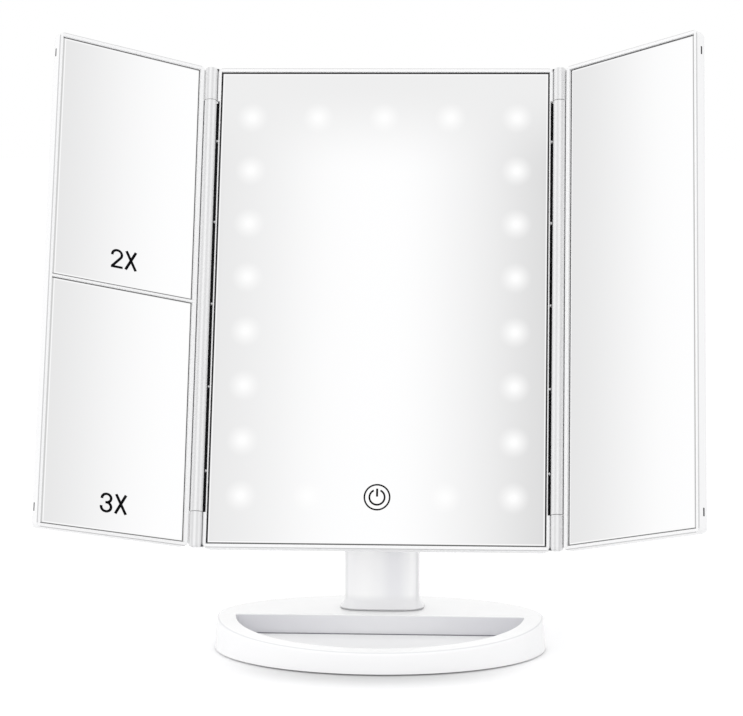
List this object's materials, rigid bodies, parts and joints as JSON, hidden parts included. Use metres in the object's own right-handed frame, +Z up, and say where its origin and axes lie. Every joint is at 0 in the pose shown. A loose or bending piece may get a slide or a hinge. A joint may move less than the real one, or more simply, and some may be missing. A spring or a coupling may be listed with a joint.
{
  "type": "trifold vanity mirror",
  "caption": "Lit tabletop vanity mirror: a centre glass with two folding side wings, one of them with magnifiers, on a friction tilt hinge, a neck and an oval tray base.",
  "frame": {"origin": "on the standing face, under the middle of the oval base", "axes": "+Z up, the mirror faces -Y, +X to the viewer's right"},
  "size_m": [0.3154, 0.1461, 0.3054],
  "materials": {
    "white_abs": "moulded ABS, semi-gloss",
    "plain_abs": "moulded ABS, unpolished",
    "silvered_glass": "float glass silvered on the back",
    "diffuser_sheet": "opal sheet",
    "white_board": "circuit board with white solder mask",
    "led_resin": "clear resin over phosphor",
    "green_board": "circuit board with green solder mask",
    "copper": "bare copper",
    "plated_steel": "zinc or nickel plated",
    "ballast_steel": "punched steel plate, painted",
    "soft_pad": "non-slip foam rubber sheet",
    "foam": "closed-cell foam, glued",
    "cell_wrap": "plain printed sleeve over steel can",
    "black_plastic": "black moulded plastic",
    "grey_plastic": "light grey moulded plastic",
    "washer_nylon": "nylon friction washer"
  },
  "bodies": {
    "base": {"base_shell": "white_abs", "base_cover": "plain_abs", "ballast_plate": "ballast_steel", "foot_pad": "soft_pad", "base_screws": "plated_steel", "neck_column": "white_abs", "neck_screws": "plated_steel"},
    "panel": {"centre_frame": "white_abs", "back_cover": "white_abs", "centre_mirror": "silvered_glass", "light_diffuser": "diffuser_sheet", "led_board": "white_board", "led_chips": "led_resin", "touch_sensor": "copper", "control_board": "green_board", "battery_box": "plain_abs", "battery_cells": "cell_wrap", "battery_contacts": "plated_steel", "charging_port": "plated_steel", "switch_body": "black_plastic", "cover_screws": "plated_steel", "hinge_gap_strip_left": "black_plastic", "hinge_gap_strip_right": "black_plastic", "hinge_pins_left": "plated_steel", "hinge_pins_right": "plated_steel", "tilt_axle": "plated_steel", "tilt_nut": "plated_steel", "tilt_washers": "washer_nylon", "tilt_caps": "white_abs"},
    "battery_door": {"battery_door": "white_abs"},
    "switch_knob": {"switch_knob": "grey_plastic"},
    "left_wing": {"left_wing_frame": "white_abs", "left_wing_shell": "white_abs", "left_mirror_2x": "silvered_glass", "left_mirror_3x": "silvered_glass", "left_glass_pads": "foam"},
    "right_wing": {"right_wing_frame": "white_abs", "right_wing_shell": "white_abs", "right_mirror": "silvered_glass", "right_glass_pads": "foam"}
  },
  "joints": [
    {"name": "panel_tilt", "type": "hinge", "parent": "base", "child": "panel", "pos_m": [0, 0.02, 0.1408], "axis": [-1, 0, 0], "range_deg": [-19.4, 70.6]},
    {"name": "left_wing_hinge", "type": "hinge", "parent": "panel", "child": "left_wing", "pos_m": [-0.0875, -0.03857, 0.05848], "axis": [0, 0.3322, 0.9432], "range_deg": [-39.1, 140.9]},
    {"name": "right_wing_hinge", "type": "hinge", "parent": "panel", "child": "right_wing", "pos_m": [0.0875, -0.03857, 0.05848], "axis": [0, -0.3322, -0.9432], "range_deg": [-41.9, 138.1]},
    {"name": "battery_door_slide", "type": "slide", "parent": "panel", "child": "battery_door", "axis": [0, 0.3322, 0.9432], "range_m": [0, 0.012]},
    {"name": "switch_slide", "type": "slide", "parent": "panel", "child": "switch_knob", "axis": [0, 0.3322, 0.9432], "range_m": [0, 0.003]}
  ]
}
